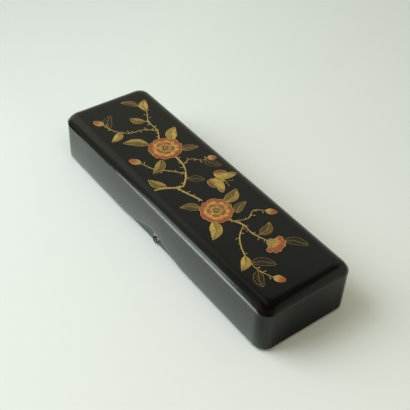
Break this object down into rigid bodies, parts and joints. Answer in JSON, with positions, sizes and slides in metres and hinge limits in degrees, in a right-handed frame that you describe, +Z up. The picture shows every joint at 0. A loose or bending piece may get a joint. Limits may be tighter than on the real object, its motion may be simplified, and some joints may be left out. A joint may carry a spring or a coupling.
{
  "type": "lacquer letter box",
  "caption": "Long black lacquer letter box with rounded corners, a deep lift-off lid with arched skirts, gold and red decoration on top and a small hanging ring on each long side.",
  "frame": {"origin": "centre of the box body's underside, on the surface that the box stands on", "axes": "+X along the box's length, towards the right end seen from the front, +Y from the front long side to the back, +Z up"},
  "size_m": [0.3, 0.0904, 0.049],
  "materials": {
    "black_lacquer": "polished black lacquer over a wood core",
    "inner_lacquer": "satin black lacquer over a wood core",
    "gilt_metal": "pale gilding, lightly worn",
    "maki_e_gold": "gold powder sprinkled in lacquer, slightly raised",
    "maki_e_red": "vermilion lacquer shaded with gold powder, slightly raised",
    "dark_metal": "dark patinated brass wire"
  },
  "bodies": {
    "box_body": {"body_front_board": "black_lacquer", "body_back_board": "black_lacquer", "body_left_end_board": "black_lacquer", "body_right_end_board": "black_lacquer", "body_corner_back_right": "black_lacquer", "body_corner_back_left": "black_lacquer", "body_corner_front_left": "black_lacquer", "body_corner_front_right": "black_lacquer", "body_bottom_board": "inner_lacquer", "front_rosette": "gilt_metal", "front_split_pin": "dark_metal", "front_inner_washer": "dark_metal", "back_rosette": "gilt_metal", "back_split_pin": "dark_metal", "back_inner_washer": "dark_metal"},
    "lid": {"lid_front_board": "black_lacquer", "lid_back_board": "black_lacquer", "lid_left_end_board": "black_lacquer", "lid_right_end_board": "black_lacquer", "lid_corner_back_right": "black_lacquer", "lid_corner_back_left": "black_lacquer", "lid_corner_front_left": "black_lacquer", "lid_corner_front_right": "black_lacquer", "lid_top_panel": "black_lacquer"},
    "front_ring": {"front_ring": "dark_metal"},
    "back_ring": {"back_ring": "dark_metal"}
  },
  "joints": [
    {"name": "lid_lift", "type": "slide", "parent": "box_body", "child": "lid", "axis": [0, 0, 1], "range_m": [0, 0.06]},
    {"name": "front_ring_swing", "type": "hinge", "parent": "box_body", "child": "front_ring", "pos_m": [0.0032, -0.04395, 0.0082], "axis": [-1, 0, 0], "range_deg": [0, 150]},
    {"name": "back_ring_swing", "type": "hinge", "parent": "box_body", "child": "back_ring", "pos_m": [0, 0.04395, 0.0082], "axis": [1, 0, 0], "range_deg": [0, 150]}
  ]
}
